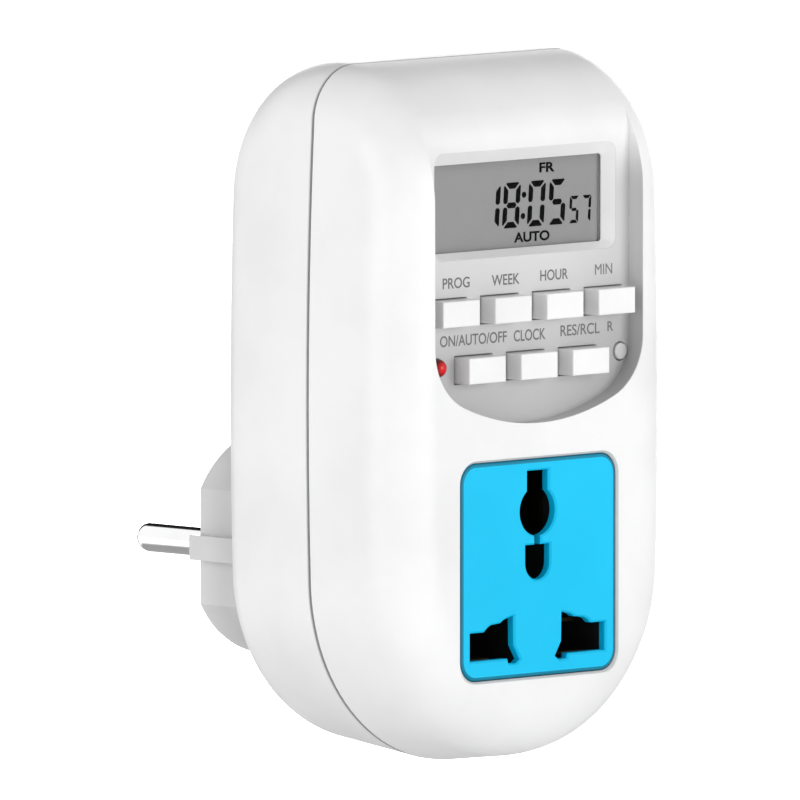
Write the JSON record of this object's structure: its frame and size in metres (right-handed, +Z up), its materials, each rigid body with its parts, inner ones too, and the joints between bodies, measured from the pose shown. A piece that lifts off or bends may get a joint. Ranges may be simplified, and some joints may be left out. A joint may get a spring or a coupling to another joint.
{
  "type": "plug-in timer switch",
  "caption": "Digital plug-in timer switch: a rounded white case with a sunk display and key panel, a coloured universal outlet below it and a round earthed plug on the back.",
  "frame": {"origin": "midpoint between the two plug pins, on the end face of the plug boss", "axes": "+Y along the pins into the wall socket, +Z up, X across the front"},
  "size_m": [0.067, 0.0822, 0.114],
  "materials": {
    "case_white": "smooth satin moulded ABS",
    "key_white": "smooth moulded keys",
    "key_grey": "moulded key",
    "outlet_blue": "coloured moulded plate",
    "carrier_black": "moulded flame-resistant plastic",
    "contact_brass": "stamped",
    "clip_nickel": "nickel-plated strip",
    "pin_nickel": "nickel-plated and polished",
    "lens_clear": "clear acrylic",
    "lcd_grey": "grey reflective liquid-crystal glass",
    "zebra_rubber": "striped silicone",
    "lamp_red": "tinted clear resin",
    "switch_black": "moulded",
    "board_green": "glass-epoxy board with solder mask",
    "can_metal": "drawn metal can",
    "relay_blue": "moulded case",
    "film_yellow": "moulded box",
    "sleeve_black": "shrunk plastic sleeve",
    "resistor_tan": "dipped ceramic",
    "header_white": "moulded",
    "ribbon_grey": "PVC ribbon",
    "wire_brown": "PVC insulation",
    "wire_blue": "PVC insulation",
    "screw_steel": "zinc-plated"
  },
  "bodies": {
    "case": {"front_cover": "case_white", "rear_cover": "case_white", "socket_plate": "outlet_blue", "socket_carrier": "carrier_black", "pin_carrier": "carrier_black", "lcd_frame": "carrier_black", "contact_live": "contact_brass", "contact_neutral": "contact_brass", "contact_earth": "contact_brass", "earth_strap": "contact_brass", "earth_clip_top": "clip_nickel", "earth_clip_bottom": "clip_nickel", "plug_pin_live": "pin_nickel", "plug_pin_neutral": "pin_nickel", "display_window": "lens_clear", "lcd_panel": "lcd_grey", "zebra_strip": "zebra_rubber", "status_led": "lamp_red", "tact_switches": "switch_black", "controller_chip": "switch_black", "driver_transistors": "switch_black", "rectifier_diodes": "switch_black", "control_board": "board_green", "power_board": "board_green", "crystal": "can_metal", "backup_battery": "can_metal", "relay": "relay_blue", "varistor": "relay_blue", "film_capacitor": "film_yellow", "smoothing_capacitors": "sleeve_black", "fuse_resistor": "resistor_tan", "board_resistors": "resistor_tan", "ribbon_headers": "header_white", "ribbon_cable": "ribbon_grey", "live_in_wire": "wire_brown", "live_out_wire": "wire_brown", "neutral_wire": "wire_blue", "neutral_tap_wire": "wire_blue", "case_screws": "screw_steel", "board_screws": "screw_steel", "power_board_screws": "screw_steel", "outlet_screws": "screw_steel", "carrier_screws": "screw_steel"},
    "prog_key": {"prog_button": "key_white"},
    "week_key": {"week_button": "key_white"},
    "hour_key": {"hour_button": "key_white"},
    "minute_key": {"minute_button": "key_white"},
    "mode_key": {"mode_button": "key_white"},
    "clock_key": {"clock_button": "key_white"},
    "recall_key": {"recall_button": "key_white"},
    "reset_key": {"reset_button": "key_grey"}
  },
  "joints": [
    {"name": "prog_press", "type": "slide", "parent": "case", "child": "prog_key", "axis": [0, 1, 0], "range_m": [0, 0.0008], "stiffness_N_per_m": 600, "springref_m": -0.0005},
    {"name": "week_press", "type": "slide", "parent": "case", "child": "week_key", "axis": [0, 1, 0], "range_m": [0, 0.0008], "stiffness_N_per_m": 600, "springref_m": -0.0005},
    {"name": "hour_press", "type": "slide", "parent": "case", "child": "hour_key", "axis": [0, 1, 0], "range_m": [0, 0.0008], "stiffness_N_per_m": 600, "springref_m": -0.0005},
    {"name": "minute_press", "type": "slide", "parent": "case", "child": "minute_key", "axis": [0, 1, 0], "range_m": [0, 0.0008], "stiffness_N_per_m": 600, "springref_m": -0.0005},
    {"name": "mode_press", "type": "slide", "parent": "case", "child": "mode_key", "axis": [0, 1, 0], "range_m": [0, 0.0008], "stiffness_N_per_m": 600, "springref_m": -0.0005},
    {"name": "clock_press", "type": "slide", "parent": "case", "child": "clock_key", "axis": [0, 1, 0], "range_m": [0, 0.0008], "stiffness_N_per_m": 600, "springref_m": -0.0005},
    {"name": "recall_press", "type": "slide", "parent": "case", "child": "recall_key", "axis": [0, 1, 0], "range_m": [0, 0.0008], "stiffness_N_per_m": 600, "springref_m": -0.0005},
    {"name": "reset_press", "type": "slide", "parent": "case", "child": "reset_key", "axis": [0, 1, 0], "range_m": [0, 0.0008], "stiffness_N_per_m": 600, "springref_m": -0.0005}
  ]
}
